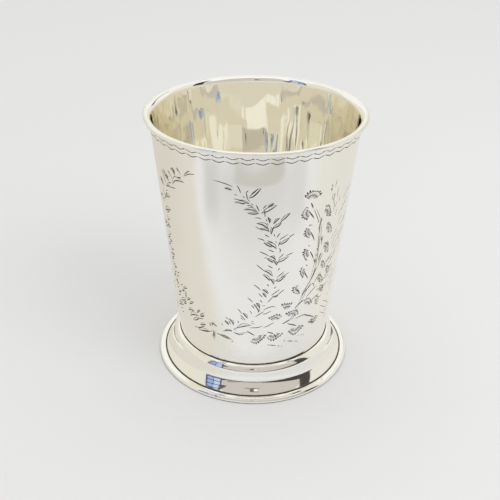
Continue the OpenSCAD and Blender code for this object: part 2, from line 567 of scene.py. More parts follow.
print("turned shapes have", TURNED_STEPS, "steps round")

# %% [markdown]
# No corner on polished metal is quite sharp, and a small radius there catches a thin bright line. A Bevel
# modifier could round the turned meshes, but in an outline a rounded corner is only a few points more.

# %% Corners and arcs
def corner(before, at, after, radius, steps=5):
    """A corner of an outline rounded to a radius, as points from its start to its end."""
    a, b, c = (np.array(p, float) for p in (before, at, after))
    to_a = (a - b) / np.linalg.norm(a - b)
    to_c = (c - b) / np.linalg.norm(c - b)
    half = math.acos(np.clip(to_a @ to_c, -1, 1)) / 2
    start, end = (b + d * radius / math.tan(half) for d in (to_a, to_c))
    middle = b + (to_a + to_c) / np.linalg.norm(to_a + to_c) * radius / math.sin(half)
    first = math.atan2(*(start - middle)[::-1])
    sweep = (math.atan2(*(end - middle)[::-1]) - first + math.pi) % (2 * math.pi) - math.pi
    turns = first + sweep * np.linspace(0, 1, steps + 1)
    return [tuple(middle + radius * np.array((math.cos(t), math.sin(t)))) for t in turns]


def arc(middle, radius, start, end, steps):
    """Points of a circle between two angles in degrees."""
    turns = np.radians(np.linspace(start, end, steps + 1))
    return [(middle[0] + radius * math.cos(t), middle[1] + radius * math.sin(t)) for t in turns]


print("a rounded corner:", len(corner((0, 0), (1, 0), (1, 1), 0.2)), "points")

# %% [markdown]
# Each piece takes the place of one solid of the construction, and rides on the cup's one body. The boxes of
# the two are compared at once, so that a wrong size can't go unseen.

# %% Fit a piece out
def fit_out(piece, node, material):
    """Lets a piece stand for its CAD node, and prints how far their boxes differ."""
    piece.data.materials.append(material)
    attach(piece, "root")
    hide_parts(node)
    points = np.array([v.co for v in piece.data.vertices])
    low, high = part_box(node)
    gap = max(np.abs(points.min(0) - low).max(), np.abs(points.max(0) - high).max())
    print(piece.name, len(piece.data.polygons), "faces, box differs by", round(gap / MM, 3), "mm")


print("the cup's pieces all ride on one body")

# %% [markdown]
# The foot is spun from sheet over a wooden former. Its outline is one smooth double curve: a rounded top
# that starts at the wall, a short upright face, and a hollow that runs out almost level. The rounded part
# shows the room upright and the hollow shows it upside down, so the stripes come in mirrored pairs. A flat
# band is soldered round its edge.

# %% Foot and band
SOFT_EDGE = 0.12

crown_in = CROWN_R - (UPRIGHT_R - WAIST_R)
crown_at = (UPRIGHT_R - CROWN_R, WAIST_Z - math.sqrt(CROWN_R**2 - crown_in**2))
hollow_w = EDGE_R - UPRIGHT_R
hollow_h = crown_at[1] - UPRIGHT_H - EDGE_TOP
HOLLOW_R = (hollow_w**2 + hollow_h**2) / (2 * hollow_w)
hollow_at = (UPRIGHT_R + HOLLOW_R, EDGE_TOP + hollow_h)


def foot_curve(sheet, low_r, high_r):
    """The foot's double curve from the edge up to the wall, set in by the sheet's thickness."""
    hollow_r = HOLLOW_R + sheet
    crown_r = CROWN_R - sheet
    first = 180 + math.degrees(math.acos((hollow_at[0] - low_r) / hollow_r))
    last = math.degrees(math.acos((high_r - crown_at[0]) / crown_r))
    return arc(hollow_at, hollow_r, first, 180, 40) + arc(crown_at, crown_r, 0, last, 32)


shown = foot_curve(0, EDGE_R, WAIST_R)
hidden = foot_curve(FOOT_SHEET, EDGE_R - FOOT_SHEET, wall_r(WAIST_Z - FOOT_SHEET))
edge = corner((EDGE_R, 0), shown[0], shown[3], SOFT_EDGE)
foot = turned("foot", [(EDGE_R, 0.0), *edge, *shown[4:], *hidden[::-1], (EDGE_R - FOOT_SHEET, 0.0)])
fit_out(foot, "foot_ring", polished_silver)

band_out = [(EDGE_R, 0.0), *corner((EDGE_R, 0), (BAND_R, 0), (BAND_R, BAND_TOP), SOFT_EDGE)]
band_out += corner((BAND_R, 0), (BAND_R, BAND_TOP), (EDGE_R, BAND_TOP), BAND_ROUND, 18)
band = turned("band", [*band_out, (EDGE_R, BAND_TOP)])
fit_out(band, "base_band", polished_silver)

# %% [markdown]
# The wire round the lip is a plain round wire, filed a little flat where it lies on the wall. It stands a
# hair above the edge of the sheet, so the rim shows a bright bead and a fine dark line inside it.

# %% Rim wire
wire_at = (MOUTH_R - WIRE_R, RIM_Z)
bead = arc(wire_at, WIRE_R, -180, 180, 48)[:-1]
wire = turned("rim_wire_bead", [(max(r, wall_r(min(z, WALL_TOP))), z) for r, z in bead])
fit_out(wire, "rim_wire", polished_silver)

# %% [markdown]
# The floor of the cup is a disc let into the wall. It was hammered flat and has been scoured by spoons, so
# its upper face swells and sinks by a few hundredths of a millimetre.

# %% Bottom disc
DISC_WEAR = 0.05


def inside_wall_r(z):
    """Inside radius of the wall at height z."""
    return wall_r(z) - LEVEL_SHEET


rings = np.linspace(0.25, 1.0, 26)
top_r = inside_wall_r(DISC_TOP)
floor_line = [(inside_wall_r(DISC_LOW), DISC_LOW), (top_r, DISC_TOP)]
floor_line += [(top_r * s, DISC_TOP) for s in rings[-2::-1]] + [(0.0, DISC_TOP), (0.0, DISC_LOW)]
disc = turned("cup_floor", floor_line)
joiner = bmesh.new()
joiner.from_mesh(disc.data)
bmesh.ops.remove_doubles(joiner, verts=joiner.verts, dist=0.001 * MM)
joiner.to_mesh(disc.data)
joiner.free()
for vertex in disc.data.vertices:
    if vertex.co.z > (DISC_TOP - 0.01) * MM:
        inward = 1 - (math.hypot(vertex.co.x, vertex.co.y) / MM / top_r) ** 4
        vertex.co.z -= inward * MM * DISC_WEAR * (1 + noise.noise(vertex.co * 180))
fit_out(disc, "bottom_disc", worn_silver)

# %% [markdown]
# The engraving comes first as drawing. A graver cuts short tapered strokes, so everything here is a stroke:
# a few points on the unrolled wall, in degrees round from the front and millimetres of height, and the
# width of the cut at its middle. The strokes are kept in one list, and cut into the sheet later, all at once.

# %% Strokes of the graver
FLAT_R = 30.0
BROAD, FINE, HAIR = 0.45, 0.32, 0.22
POINTED, EVEN = 0.45, 0.16
WREATH_MIDDLE = -28.5
LEFT_FROND_END = -72.0
strokes = []


def flat(points):
    """Degrees round and millimetres up, as millimetres on the unrolled wall."""
    return np.array([(math.radians(turn) * FLAT_R, z) for turn, z in points])


def traced(points, step=0.8):
    """A smooth line through a stroke's points, with a few more points between them."""
    points = flat(points)
    if len(points) == 2:
        across = points[1] - points[0]
        bow = 0.05 * np.array((-across[1], across[0]))
        points = np.array([points[0], points.mean(0) + bow, points[1]])
    ends = np.vstack([2 * points[0] - points[1], points, 2 * points[-1] - points[-2]])
    line = []
    for a, b, c, d in zip(ends, ends[1:], ends[2:], ends[3:]):
        pieces = max(2, int(np.linalg.norm(c - b) / step))
        for t in np.arange(pieces) / pieces:
            line.append(0.5 * (2 * b + (c - a) * t + (2 * a - 5 * b + 4 * c - d) * t**2
                               + (3 * b - a - 3 * c + d) * t**3))
    return np.array([*line, points[-1]])


def cut(width, *points, ends=POINTED):
    """Adds a stroke of this width through these points."""
    strokes.append((width, ends, points))


def mirrored(turn):
    """The same place on the other side of the wreath's middle line."""
    return 2 * WREATH_MIDDLE - turn


def cut_pair(width, *points):
    """Adds a stroke, and its mirror image where that lies beyond the left frond."""
    cut(width, *points)
    twin = [(mirrored(turn), z) for turn, z in points]
    if max(turn for turn, z in twin) < LEFT_FROND_END:
        cut(width, *twin)


print("graver widths", BROAD, FINE, HAIR, "mm")

# %% [markdown]
# The border under the rim is a pair of wavy lines. Each wave is one cut, thin where it starts and ends, so
# that the line seems to swell. At some crests of the upper line the graver was rocked, which left a dot.
# Fifty waves go round the cup.

# %% Wavy border
WAVES = 50
UPPER_Z, LOWER_Z, WAVE = 86.9, 85.5, 0.28
UPPER_CUT, LOWER_CUT = 0.75 * FINE, 0.9 * FINE
DOT_HALF = 0.5
START_TURN = -208.8
ONE_WAVE = 360 / WAVES

for wave in range(WAVES):
    first = START_TURN + wave * ONE_WAVE
    swing = [(first + ONE_WAVE * t, WAVE * math.cos(2 * math.pi * t)) for t in np.linspace(0.005, 0.995, 9)]
    cut(LOWER_CUT, *((turn, LOWER_Z + rise) for turn, rise in swing), ends=EVEN)
    cut(UPPER_CUT, *((turn, UPPER_Z + rise) for turn, rise in swing), ends=EVEN)
    if wave % 5 in (1, 3):
        for turn, rise in (swing[1], swing[7]):
            cut(BROAD, (turn - DOT_HALF, UPPER_Z + rise), (turn + DOT_HALF, UPPER_Z + rise))
print("border:", len(strokes), "cuts")

# %% [markdown]
# A leaf is more than its darkest cut. Beside each broad stroke the graver ran again, lightly, along a line
# that bows away from it, so that the two close round the leaf. The tips run out long and thin.

# %% Shading of a leaf
LEAF_TIP, LINE_TIP = 0.35, 0.25
LEAF_BOW = 0.2
SHADED_FROM = 2.2


def beside(points, bow, start=0.0, end=1.0):
    """A line along a stroke that bows away from it, to its upper side, between two shares of its length."""
    line = traced(points, step=0.5)
    along = line[-1] - line[0]
    up = np.array((-along[1], along[0])) * (1 if along[0] > 0 else -1)
    share = np.linspace(0, 1, len(line))
    line = line + np.sin(np.pi * share)[:, None] * bow * up
    kept = np.linspace(start, end, 5) * (len(line) - 1)
    return [(math.degrees(x / FLAT_R), z) for x, z in line[kept.round().astype(int)]]


def carried_on(points, more):
    """The same points, with both ends carried on, straight, by so many millimetres."""
    line = flat(points)
    for end, inner in ((0, 1), (-1, -2)):
        away = line[end] - line[inner]
        line[end] += more * away / np.linalg.norm(away)
    return [(math.degrees(x / FLAT_R), z) for x, z in line]


def leaf(points):
    """A broad cut, with its lighter companion where it is long enough."""
    points = carried_on(points, LEAF_TIP)
    cut(BROAD, *points)
    length = np.linalg.norm(np.diff(flat(points), axis=0), axis=1).sum()
    if length > SHADED_FROM:
        cut(HAIR, *beside(points, LEAF_BOW))


print("a leaf longer than", SHADED_FROM, "mm takes two cuts")

# %% [markdown]
# The wreath is two leafy fronds that rise from a crossing low on the front. They were cut by hand and aren't
# mirror images, so each is drawn leaf by leaf: a broad cut along a leaf's lower edge, finer ones along its
# upper edge and its vein, and hair lines at its root. First the right frond, from its tip down.

# %% Right frond
right_broad = (
    ((-15.2, 77), (-13.7, 76.9), (-12.2, 76.7)),
    ((-2.6, 74.5), (-1, 74.9), (0.5, 75.7), (2, 76.7), (3, 77.5)),
    ((-10.1, 72.7), (-7.6, 72.7), (-6, 72.5), (-4.7, 72.9), (-3, 72.6)),
    ((-5.3, 70.5), (-3.4, 70.6), (-1.6, 70.6), (-0.3, 70.4), (1.2, 70)),
    ((-3.4, 69.4), (-1.4, 69.2), (0.5, 69.2), (2, 69.4)),
    ((3.9, 69.5), (5.6, 69.8), (7.4, 70.2), (9.2, 70.9), (11.6, 71.8)),
    ((7.4, 71.5), (8.5, 71.9), (9.8, 72.5)),
    ((7.2, 67.9), (7.6, 67.3), (8, 66.8), (8.1, 66.2)),
    ((10.5, 65.7), (11.6, 66.4), (12.4, 66.9), (13.4, 67.3)),
    ((9.4, 62.2), (9.7, 63), (10, 63.8), (10.5, 64.2)),
    ((10.2, 64.1), (11.6, 64.4), (12.9, 64.7), (13.9, 65.2), (14.8, 66.1)),
    ((14.5, 66.4), (15.8, 66.8), (17, 67.4), (18.3, 68.1), (19.1, 68.6)),
    ((1.6, 65.9), (2.8, 65.8), (4.3, 65.5), (5.4, 65.1), (6.5, 64.6), (7.6, 63.9)),
    ((2.8, 64.1), (4.3, 63.8), (5.6, 63.8), (6.8, 63.5), (8, 63.1)),
    ((14.3, 58.4), (15.4, 58.2), (16.8, 58.5), (18, 58.9), (18.9, 59.4), (19.9, 60)),
    ((7.2, 59.2), (8.8, 58.6), (10, 58), (11.3, 57.5), (12.6, 56.8)),
    ((5.6, 59.1), (6.8, 58.5), (8.4, 57.9), (9.7, 57.5)),
    ((9.2, 53.9), (10.4, 53.9), (11.4, 53.4), (12.5, 52.7)),
    ((7.6, 53.4), (8.7, 52.8), (9.8, 52.3), (10.9, 51.8)),
    ((11.2, 52.5), (12, 52), (12.8, 51.3), (13.3, 50.8)),
    ((14.2, 51.7), (15.5, 51.8), (16.8, 52), (18.1, 52.4), (20.3, 53.2)),
    ((6, 48.9), (8.2, 48.3), (9.8, 47.5), (11.2, 46.7)),
    ((5.6, 47.4), (7.2, 46.6), (8.5, 45.8), (9.6, 45.1)),
    ((9.8, 45.6), (10.8, 45.1), (11.6, 44.4), (12.2, 43.6)),
    ((14, 44.6), (15.5, 44.4), (16.8, 44.8), (18.1, 45.3), (19.4, 45.8)),
    ((5.7, 41.6), (7.2, 41), (8.8, 40.1)),
    ((5.8, 40.2), (6.7, 39.5), (7.7, 38.7)),
    ((12.4, 38.7), (13.6, 38.4), (14.6, 38.6), (15.5, 39.1)),
    ((0.4, 35.8), (1.4, 35.2), (2.5, 34.3), (3.3, 33.4), (3.4, 32.9)),
    ((2, 36.3), (3.1, 35.7), (4, 34.8)),
    ((-6.6, 32.1), (-5.1, 31.2), (-3.8, 30.2)),
    ((-18.9, 27.9), (-17.7, 27.2), (-16.6, 26.7)),
    ((-16.2, 29), (-14.6, 28.4), (-13.6, 27.7), (-13.2, 26.9)),
    ((-18.9, 23.9), (-16.6, 24.1), (-14.6, 24.2)),
    ((-10.7, 25.8), (-8, 26.4), (-5.2, 26.9), (-1.5, 27.2)),
)
for points in right_broad:
    leaf(points)
print("leaves of the right frond:", len(right_broad))

# %% [markdown]
# Between those leaves lie light lines. They could be leaves too, but they have no second edge and no
# shading, so each is a single stroke, fine or as thin as a hair.

# %% Fine lines of the right frond
right_fine = (
    ((-21.9, 79.1), (-17.9, 78.9), (-14.8, 78.5), (-12.9, 78.2), (-11.2, 77.8)),
    ((-8.9, 78.3), (-8.2, 77.6), (-7.6, 76.8), (-7.2, 76)),
    ((-4.4, 76.1), (-4.1, 75.4), (-3.8, 74.4), (-3.5, 74)),
    ((-4.3, 76.2), (-3.4, 76.8)),
    ((-1.4, 75.7), (-0.3, 76.4), (0.8, 77.1), (1.6, 77.6)),
    ((-10.8, 73.9), (-8.7, 73.8), (-7.4, 73.6), (-6, 73.8)),
    ((-3.8, 71.9), (-2.4, 72), (-0.9, 71.5)),
    ((0.8, 72.2), (1.4, 71.5), (2, 70.7), (2.4, 70.2)),
    ((0.5, 67.9), (2, 67.9), (3.5, 67.5)),
    ((4.6, 71), (5.2, 71.6), (6.2, 72.1)),
    ((5, 70.6), (5.4, 69.8), (5.5, 69), (5.6, 68.2)),
    ((0.8, 64.8), (2, 64.4), (3, 64.1), (4, 64.4)),
    ((5.9, 62), (7, 61.6), (8.1, 61.2)),
    ((12.7, 60.8), (13.4, 61.5), (14.2, 62.1)),
    ((14.6, 59.8), (15.1, 60.2), (16, 60.4), (17.2, 60.8), (19.2, 61.5)),
    ((13.8, 57.7), (14.2, 58.5), (14.8, 59.2)),
    ((19.9, 60), (20.5, 60.6), (21.5, 60.8), (22.8, 61.2)),
    ((1.9, 60.8), (3.6, 60.5), (4.9, 60.2), (5.7, 59.8)),
    ((7.2, 59.9), (8.8, 59.5), (10, 59.1), (11.3, 58.5)),
    ((8.1, 56.6), (9.7, 56.2), (11.3, 55.6)),
    ((14.3, 56.8), (15.2, 56), (14.8, 55.4)),
    ((3.2, 56), (4.7, 55.6), (6.3, 55.1), (9, 54.2)),
    ((13.3, 50.7), (13.9, 51.4), (14.6, 51.9)),
    ((18.9, 53.8), (20.3, 53.9), (21.6, 54.2), (23, 54.4)),
    ((14.6, 53.2), (15.5, 53.6), (16.5, 54.1), (17.1, 54.5)),
    ((8.4, 50.8), (9.8, 50.2), (11, 49.7)),
    ((14.6, 48.7), (15.4, 49.2)),
    ((1.5, 51.2), (3.8, 50.1), (6, 48.9)),
    ((13, 44.5), (14, 45), (14.6, 45.5)),
    ((16.3, 45.6), (17.8, 46), (19.2, 46.4), (21.9, 47.4)),
    ((14.2, 46), (15.5, 46.6), (16.8, 47.2), (18.4, 47.8)),
    ((8.2, 43.6), (9.2, 42.9)),
    ((13, 41.9), (13.6, 42.3)),
    ((0.2, 43.6), (1.5, 43.1), (3.1, 42.3), (4.4, 41.5)),
    ((3.3, 40.2), (4.4, 39.5), (5.8, 38.7)),
    ((9, 36.5), (10.5, 37.4), (11.7, 38.2), (12.5, 38.7)),
    ((15.5, 39.1), (17, 39.9), (19.8, 40.9)),
    ((11.3, 39.2), (12.8, 39.8), (14.8, 40.6), (16.3, 41.1)),
    ((4.2, 37.5), (5.4, 36.6)),
    ((-3.6, 38.5), (-2, 37.7), (-0.2, 36.8)),
    ((-1.1, 35.4), (0.6, 34.3)),
    ((-2, 33.1), (-1.1, 32.2)),
    ((1.2, 30.8), (3.3, 31.6), (4.8, 32.2), (7.1, 33)),
    ((6, 32), (7.5, 31.9), (9.4, 32.3), (11.7, 32.9)),
    ((6.4, 33.5), (8.2, 34), (9.8, 34.4), (12.4, 34.7), (14.4, 34.2)),
    ((-9.9, 33.8), (-8.5, 32.8), (-7.4, 32)),
    ((-8.2, 31.2), (-6.2, 30.2)),
    ((-8, 30.2), (-7, 29.6)),
    ((-6.2, 30.2), (-5.7, 29.3)),
    ((-10.1, 28.7), (-9.7, 28)),
    ((-18.2, 29.5), (-17.1, 28.9)),
    ((-16.2, 28.1), (-15.2, 27)),
    ((-21.4, 26.5), (-21.2, 25.8)),
    ((-13.4, 23.7), (-11.2, 23.4), (-9.8, 23.5)),
)
right_hair = (
    ((-10.2, 75.3), (-9.1, 75.2)),
    ((-6, 74.9), (-5.3, 74.6)),
    ((-3.5, 74), (-2.8, 73.4)),
    ((-6, 73.2), (-4.9, 73.5)),
    ((-1.8, 72.6), (-0.9, 72.2)),
    ((7, 65.9), (7.3, 65.5)),
    ((8.9, 64.5), (9.2, 64.2)),
    ((6.1, 67.4), (6.6, 66.6)),
    ((10.9, 61.9), (11.3, 61.3)),
    ((12, 59.4), (12.4, 58.9)),
    ((6.3, 53.4), (7.1, 53.9)),
    ((14.7, 52.4), (14.9, 52.8)),
    ((17, 46.3), (18.2, 47)),
    ((5.8, 35.2), (7.7, 35.2)),
    ((-1, 28.8), (0.5, 28.8)),
    ((-1, 28), (0.5, 28)),
    ((-13, 25.1), (-11.6, 24.6)),
    ((-9.8, 23.5), (-6.1, 24), (-3.4, 24.1)),
)
for width, group in ((FINE, right_fine), (HAIR, right_hair)):
    for points in group:
        cut(width, *carried_on(points, LINE_TIP))
print("with the right frond:", len(strokes), "cuts")

# %% [markdown]
# The left frond turns away round the side of the cup. Its leaves point up and to the left. Short pairs of
# ticks run down its edge, one falling and one rising.

# %% Left frond
TICKS, TICK_TOP, TICK_FALL = 13, 62.0, 2.9
TICK_TURN, TICK_BULGE = -64.0, 3.0

for tick in range(TICKS):
    side = TICK_TURN - TICK_BULGE * math.sin(tick / (TICKS - 1) * math.pi)
    z = TICK_TOP - TICK_FALL * tick
    cut(FINE, (side, z), (side + 2.4, z - 1.1))
    cut(FINE, (side - 0.6, z - 2), (side + 2.5, z - 1.2), (side + 5.2, z))

left_broad = (
    ((-48.6, 78.6), (-48.1, 78), (-47.7, 77.1)),
    ((-45.3, 76.3), (-43.6, 76.5), (-42.7, 76.7)),
    ((-50.5, 73.1), (-48.4, 74.4), (-46.6, 75), (-43.7, 75.4), (-40.6, 75.5)),
    ((-56.2, 73.8), (-54.5, 74.7)),
    ((-60.5, 75.6), (-58.4, 74.7), (-56.4, 73.9), (-54.5, 73.3)),
    ((-54.5, 72.6), (-52.7, 72.9)),
    ((-57.9, 70.7), (-55.8, 71.3), (-53.6, 71.4)),
    ((-66.6, 72), (-64.9, 70.9), (-63.1, 70)),
    ((-66.4, 70.6), (-64.6, 71.6)),
    ((-62.3, 66.1), (-60.5, 66.7), (-57.9, 67), (-55.8, 67.5)),
    ((-71.6, 64.4), (-69.5, 65.2), (-67.5, 65.2)),
    ((-65.8, 60.5), (-63.6, 61.1), (-61, 61.8), (-57, 62.5)),
    ((-71.6, 54.6), (-69.2, 55.4), (-67.3, 56.1)),
    ((-69.7, 53.4), (-67.3, 54.5), (-64.9, 55.2), (-62.5, 56.1)),
    ((-69.7, 49.5), (-67.3, 50.2), (-64.9, 50.8)),
    ((-65.4, 49.4), (-63, 50.1)),
    ((-70.6, 46.5), (-67.8, 47.5), (-65.6, 48.1)),
    ((-67.3, 44.2), (-64.9, 45)),
    ((-64.4, 44.4), (-61.5, 45)),
    ((-66.8, 42), (-63.5, 42.9)),
    ((-63.9, 39.5), (-60.6, 40.2)),
    ((-60.1, 38.3), (-57.7, 39)),
    ((-61.6, 36.8), (-59.6, 37.1)),
    ((-67.5, 35.2), (-64.4, 36.6)),
    ((-64.9, 33.8), (-62.5, 34), (-60.6, 33.5)),
    ((-54.4, 33.8), (-52, 34.4), (-49.9, 34.9)),
    ((-56.1, 32.2), (-53.4, 33)),
    ((-51.5, 33), (-52, 31.5), (-52.5, 30.5)),
    ((-51, 29.9), (-49.1, 30.6), (-47, 31.6)),
    ((-48.4, 29), (-46.8, 29.6), (-44.4, 30.6)),
    ((-61.8, 30.1), (-58.7, 31.2)),
    ((-60.1, 27.5), (-56.3, 28.4), (-53, 29.5)),
    ((-56.1, 27), (-53, 27.9)),
    ((-67.3, 23.5), (-63.5, 24.8), (-60.1, 25.5), (-58, 26.1)),
    ((-50.6, 26), (-48.7, 26.5), (-44.8, 27.1)),
    ((-49.4, 23.9), (-46.8, 25), (-43.9, 25.6), (-40.5, 26)),
    ((-46.3, 22.9), (-43.4, 23.6), (-41.7, 24.4), (-39.6, 25.1)),
    ((-39.3, 22.5), (-37.1, 23.1), (-34.6, 23.6)),
    ((-38.4, 26.2), (-36.6, 26.6), (-35.4, 27.2)),
    ((-41, 27.2), (-38.5, 28.6)),
    ((-41.5, 19.9), (-38, 20.5), (-35.3, 20.9), (-32.5, 21.5)),
)
for points in left_broad:
    leaf(points)
print("leaves of the left frond:", len(left_broad))

# %% [markdown]
# Its light lines are single strokes too. Most of them lie near its tip.

# %% Fine lines of the left frond
left_fine = (
    ((-40, 77.8), (-37.5, 79.4), (-35.3, 80.1)),
    ((-39.7, 77.7), (-37, 78.8), (-34.9, 79.2), (-32.3, 79.5)),
    ((-44.7, 79.7), (-43.4, 78.7), (-42.2, 77.8)),
    ((-45.2, 79.3), (-44.2, 78.6)),
    ((-50.5, 78), (-49.2, 78.6)),
    ((-50.3, 78.5), (-48.7, 77.8), (-47.2, 77.3)),
    ((-53.6, 76.5), (-52.1, 76)),
    ((-57.9, 74.3), (-56.2, 74.7), (-55.3, 75)),
    ((-54.3, 71.3), (-51.1, 71.7), (-48.2, 72)),
    ((-65.8, 72.4), (-63.1, 71.7), (-61.1, 70.1)),
    ((-62.5, 75.5), (-60.3, 73.7), (-58.1, 71.8)),
    ((-59.3, 76.6), (-57, 75.1), (-54.9, 73.5)),
    ((-65.2, 68.8), (-63.2, 66.8), (-61.2, 65.2)),
    ((-53.9, 77.1), (-52.2, 76.1), (-50.6, 75)),
    ((-49.8, 78.5), (-48.4, 77.5), (-47.3, 76.3)),
    ((-59.2, 68.8), (-57.9, 69.3)),
    ((-60.1, 67.8), (-58.6, 68.2)),
    ((-65.8, 64.5), (-63.1, 65.4)),
    ((-69.8, 65.9), (-66.8, 64.5), (-65.8, 63.4)),
    ((-59.6, 68), (-62.5, 65.6)),
    ((-63, 46.5), (-61.1, 47)),
    ((-57.3, 34.2), (-54.9, 35)),
    ((-55.3, 28.1), (-52.7, 28.6)),
    ((-63.5, 23.2), (-60.1, 24)),
    ((-62, 21.8), (-58.7, 22.9)),
    ((-39.6, 25.1), (-36.2, 25.6)),
    ((-38.9, 26.6), (-37.5, 27.5), (-34.8, 28.5)),
    ((-45.6, 20), (-43.4, 20.6)),
    ((-42, 20.5), (-39.6, 21.1)),
)
for points in left_fine:
    cut(FINE, *carried_on(points, LINE_TIP))
print("with the left frond:", len(strokes), "cuts")

# %% [markdown]
# Where the fronds cross, a small star of cuts ties them together.

# %% Crossing of the fronds
crossing_broad = (
    ((-30.7, 25.3), (-30.6, 24.4)),
    ((-28.4, 26), (-28.3, 24.7)),
    ((-26.6, 25.3), (-26.4, 24.6)),
    ((-28.5, 22.8), (-28.3, 21.2), (-28.9, 20), (-29.1, 19.4)),
    ((-26.7, 21.9), (-23.5, 21.5), (-20.8, 21.1), (-18, 20.7), (-15.6, 20.2)),
    ((-22.9, 21.7), (-20, 21.6), (-17.6, 21.2), (-14, 20.2)),
)
crossing_fine = (
    ((-31.3, 25.5), (-30.2, 23.7)),
    ((-29.4, 25.9), (-29, 24.1)),
    ((-27.5, 26), (-27.4, 24.5)),
    ((-25.9, 25.2), (-25.6, 24.3)),
    ((-44.2, 20.4), (-40, 21.3), (-34.8, 23.2)),
    ((-38.6, 20.2), (-32.7, 21.1), (-28.6, 22.4)),
    ((-28.1, 20.8), (-27.3, 19.6)),
    ((-27.2, 22.7), (-27.4, 20.8), (-27.6, 19)),
    ((-15.1, 19.7), (-13.3, 19.8)),
    ((-21.6, 23.2), (-17.3, 24), (-13.8, 24)),
    ((-12.3, 23.6), (-9.4, 23), (-5.4, 23.7)),
    ((-13.2, 25), (-10.7, 25.8), (-5.4, 26.8), (-1.6, 27.2)),
)
for width, group in ((BROAD, crossing_broad), (FINE, crossing_fine)):
    for points in group:
        cut(width, *points)
cut(HAIR, (-28.4, 19.7), (-28.4, 18.4))
print("with the crossing:", len(strokes), "cuts")

# %% [markdown]
# Beside the right frond grows a flower spray. Its heads are little brushes that open from the end of a stalk:
# light rays from the root, a row of ticks across them, and a zigzag of short dark cuts along the outer edge.
# One function draws a head of any reach and opening, facing any way. No two teeth are quite alike, as nobody
# measured them.

# %% Flower heads
TOOTH = 1.0
HEAD_SCALE = 1.3


def flower_head(turn, z, facing, reach, opening):
    """A brush of petals: its root, the way it faces in degrees, its reach and half its opening in degrees."""
    root = flat([(turn, z)])[0]
    reach = HEAD_SCALE * reach

    def at(share, out):
        angle = math.radians(facing + opening * (2 * share - 1))
        x, up = root + out * reach * np.array((math.cos(angle), math.sin(angle)))
        return math.degrees(x / FLAT_R), up

    teeth = max(3, round(2 * math.radians(opening) * reach / TOOTH))
    for tooth in range(teeth):
        inner = 0.76 + 0.07 * math.sin(7 * tooth + turn)
        outer = 1.0 + 0.10 * math.sin(5 * tooth + z)
        cut_pair(FINE, at(tooth / teeth, inner), at((tooth + 0.45) / teeth, outer))
        cut_pair(FINE, at((tooth + 0.55) / teeth, outer), at((tooth + 1) / teeth, inner))
        cut_pair(HAIR, at((tooth + 0.5) / teeth, 0.25), at((tooth + 0.4) / teeth, 0.8))
        cut_pair(HAIR, at(tooth / teeth, 0.62), at((tooth + 0.5) / teeth, 0.46))


heads = (
    (31.5, 71.3, 80, 2.9, 60),
    (32.4, 67.6, 195, 2.5, 52),
    (34.8, 60.9, 200, 2.4, 52),
    (35.6, 53.0, 195, 2.5, 52),
    (34.2, 46, 190, 2.2, 55),
    (30.2, 40.3, 215, 2.2, 55),
    (22.2, 31.6, 90, 3.0, 36),
    (14.6, 28.3, 90, 2.4, 58),
    (26, 28.6, 75, 2.5, 65),
    (37, 31.3, 60, 2.5, 55),
    (42, 64.6, 30, 2.7, 55),
    (45.5, 58, 30, 2.6, 55),
    (45.5, 51, 25, 2.7, 55),
    (45.5, 44.4, 35, 2.3, 50),
    (44.3, 39.2, 35, 2.5, 50),
    (47.5, 34.8, 30, 2.3, 50),
    (44, 31, 15, 2.3, 50),
    (51.5, 41.5, 25, 2.2, 50),
    (1.8, 23, -60, 2.7, 66),
    (14.5, 23.6, -80, 2.6, 72),
    (30.5, 24.6, -85, 2.9, 70),
    (47, 25.4, -90, 2.6, 64),
)
for head in heads:
    flower_head(*head)
print("with heads:", len(strokes), "cuts")

# %% [markdown]
# The stalks of the spray are single cuts, broad where the hand leaned on the graver and fine elsewhere. A few
# dashes of ground lie below, and small caps sit where the heads meet their stalks. The broad cuts come first.
# All of the spray comes again on the far left, as the photo can't show what is there.

# %% Broad cuts of the spray
spray_broad = (
    ((19.6, 26.8), (21.5, 27.1), (23.4, 27.6), (25.8, 28.1)),
    ((27.7, 32.1), (29.6, 32.8), (31.5, 33.6), (33.4, 34.1), (35.1, 34.5)),
    ((32.3, 36.6), (33.8, 37.4), (35.8, 38.2), (38, 39.2), (40.3, 40.1)),
    ((38.4, 41.6), (39.6, 42.6), (40.7, 43.8), (41.9, 45.2), (42.8, 45.8)),
    ((43.6, 57.3), (42.9, 56.4), (43.4, 55.3)),
    ((40.6, 64.5), (40.2, 62.9), (40.1, 61.6), (40.2, 60.2), (40.6, 58.9)),
    ((31.4, 70.9), (32.4, 69.8), (33.6, 68.5)),
    ((30.2, 68.4), (31.7, 67.3), (33.5, 66), (34.9, 64.8)),
    ((33.1, 60.8), (34.5, 59.5), (35.9, 58.2), (37.3, 56.5)),
    ((34.8, 53.3), (36.1, 52.1), (37.5, 50.8), (38.4, 49.6)),
    ((32.1, 46.4), (33.3, 45), (34.6, 43.8), (35.8, 42.7)),
    ((27.3, 40), (28.9, 39.2), (30, 38.4), (30.8, 37.5)),
    ((-4.3, 25), (-2.3, 24.2), (1.7, 22.9)),
    ((9.5, 24.4), (11.5, 23.9), (13.1, 23.6), (14.1, 23.2)),
    ((14.1, 23.2), (15.3, 22.4), (16.2, 21.6)),
    ((23.4, 26.8), (25.3, 26), (27.7, 25.5), (29.6, 24.9), (31.3, 24.2)),
    ((35.8, 28.1), (39.2, 27.2), (42, 26.4), (44.9, 25.5), (47.3, 24.8)),
)
for points in spray_broad:
    cut_pair(BROAD, *points)
print("broad cuts of the spray:", len(spray_broad))

# %% [markdown]
# The fine cuts follow, and the stem, which is a pair of light lines. A stem of one long stroke would be thin
# only at its ends, so it is cut in short lengths, as by hand.

# %% Fine cuts and stem of the spray
STEM_CUT = 0.17
STEM_LINES = (0.0, 1.6)

